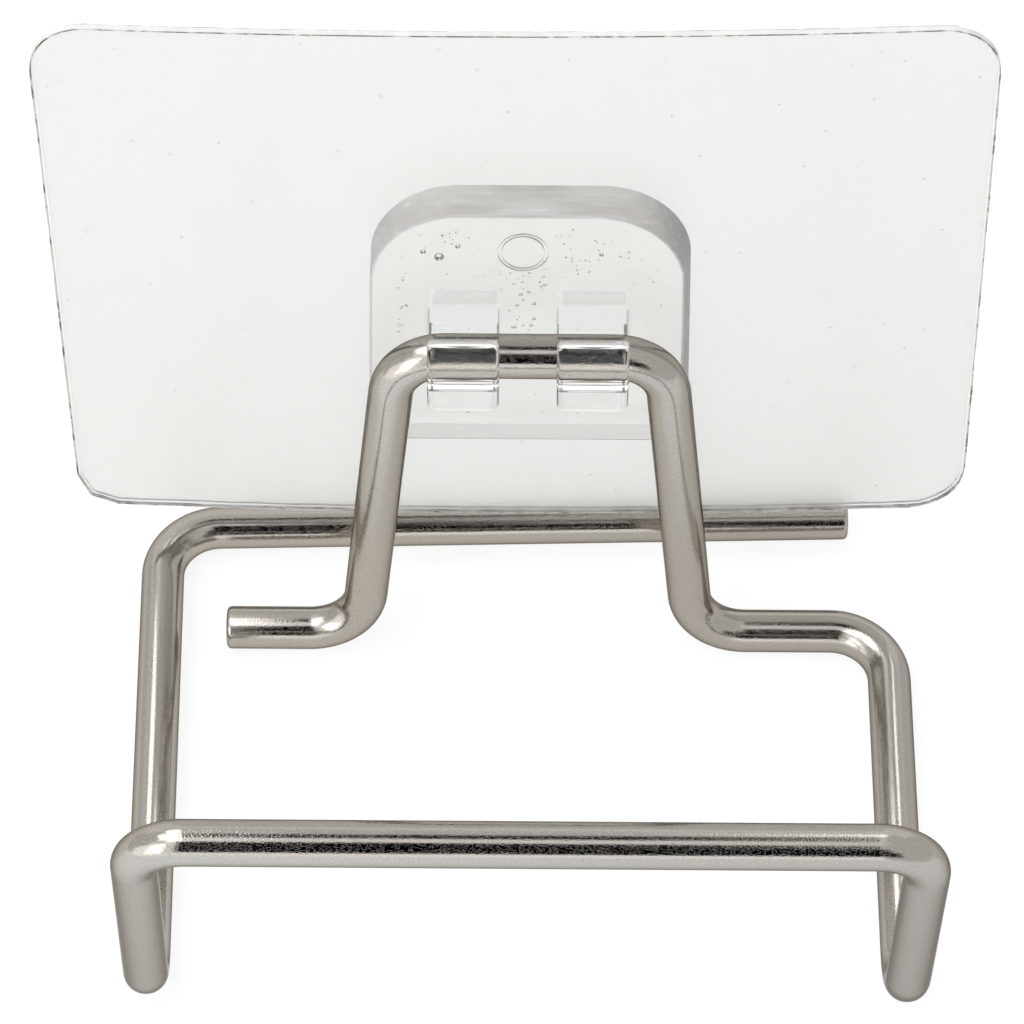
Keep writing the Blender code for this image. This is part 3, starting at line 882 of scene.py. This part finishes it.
def card(tree, angles, below, level, sides, rise, soft):
    """A soft-edged rectangle of light or dark, in degrees to the side and up from the front horizon."""
    mask = None
    for angle, (low, high) in zip(angles, (sides, rise)):
        off = add(tree, "Math", {0: angle}, operation="SUBTRACT", inputs={1: math.radians(low + high) / 2})
        off = add(tree, "Math", {0: off.outputs[0]}, operation="ABSOLUTE")
        half = (high - low) / 2
        edge = add(tree, "MapRange", {"Value": off.outputs[0]}, interpolation_type="SMOOTHSTEP", inputs={
            "From Min": math.radians(half - soft), "From Max": math.radians(half + soft),
            "To Min": 1.0, "To Max": 0.0})
        if mask is None:
            mask = edge
        else:
            mask = add(tree, "Math", {0: mask.outputs[0], 1: edge.outputs[0]}, operation="MULTIPLY")
    return add(tree, "MixRGB", {"Fac": mask.outputs[0], 1: below.outputs[0]},
               inputs={2: (level, level, level, 1.0)})


def studio_world():
    """White to the eye. Reflections see the studio: pale walls, a big soft light to the left, a dark front
    where the camera stands, and two soft lights overhead with a dark seam between them."""
    world = bpy.data.worlds.new("studio")
    world.use_nodes = True
    bpy.context.scene.world = world
    tree = world.node_tree
    tree.nodes.clear()
    direction = add(tree, "TexCoord")
    parts = add(tree, "SeparateXYZ", {0: direction.outputs["Generated"]})
    aside = add(tree, "Math", {0: parts.outputs["X"]}, operation="ARCSINE")
    forward = add(tree, "Math", {0: parts.outputs["Y"]}, operation="MULTIPLY", inputs={1: -1.0})
    rise = add(tree, "Math", {0: parts.outputs["Z"], 1: forward.outputs[0]}, operation="ARCTAN2")
    angles = (aside.outputs[0], rise.outputs[0])
    studio = add(tree, "RGB")
    studio.outputs[0].default_value = (WALL_LIGHT, WALL_LIGHT, WALL_LIGHT, 1.0)
    for level, sides, up, soft in STUDIO_CARDS:
        studio = card(tree, angles, studio, level, sides, up, soft)
    path = add(tree, "LightPath")
    seen = add(tree, "MixRGB", {"Fac": path.outputs["Is Camera Ray"], 1: studio.outputs[0]},
               inputs={2: (1, 1, 1, 1)})
    light = add(tree, "Background", {"Color": seen.outputs[0]}, inputs={"Strength": 1.0})
    add(tree, "OutputWorld", {"Surface": light.outputs[0]})


def camera():
    data = bpy.data.cameras.new("camera")
    data.lens = CAMERA_LENS
    data.sensor_width = 36.0
    made = bpy.data.objects.new("camera", data)
    bpy.context.scene.collection.objects.link(made)
    right = Vector((math.cos(CAMERA_YAW), math.sin(CAMERA_YAW), 0.0))
    ahead = Vector((-math.sin(CAMERA_YAW) * math.cos(CAMERA_PITCH),
                    math.cos(CAMERA_YAW) * math.cos(CAMERA_PITCH), -math.sin(CAMERA_PITCH)))
    down = ahead.cross(right)
    across = right * math.cos(CAMERA_ROLL) + down * math.sin(CAMERA_ROLL)
    upward = right * math.sin(CAMERA_ROLL) - down * math.cos(CAMERA_ROLL)
    turn = Matrix((across, upward, -ahead)).transposed()
    made.matrix_world = Matrix.Translation(CAMERA_PLACE) @ turn.to_4x4()
    bpy.context.scene.camera = made


bpy.context.scene.view_settings.view_transform = "Standard"
camera()
stage()
studio_world()

sheet_front = PAD_FACE + PAD_THICKNESS + BOND_GAP
adhesive_front = sheet_front + SHEET_THICKNESS + BOND_GAP
film = [hazy_film("hazy_pet_sheet", "#FEFEFD", 0.30, 1.2),
        cut_edge("cut_pet_edge", "#76756E", "#A9A8A2", "#F4F4F1"),
        cut_edge("cut_pet_rim", "#F6F6F4", "#FAFAF9", "#FDFDFC")]
soft_gel = hazy_film("acrylic_gel_adhesive", "#FEFEFD", 0.25, 3.0)
gel = [soft_gel, soft_gel, cut_edge("cut_gel_rim", "#9E9D96", "#BDBCB6", "#E4E3E0")]
hand_over(bent_wire(), "tray", "wire_frame")
hand_over(hook_pad(), "plate", "hook_pad")
hand_over(layer("hazy_sheet", 0.0, sheet_front, SHEET_THICKNESS, 3.0, film),
          "plate", "backing_sheet")
hand_over(layer("clear_adhesive", ADHESIVE_INSET, adhesive_front, ADHESIVE_THICKNESS, 8.0, gel),
          "plate", "adhesive_layer")
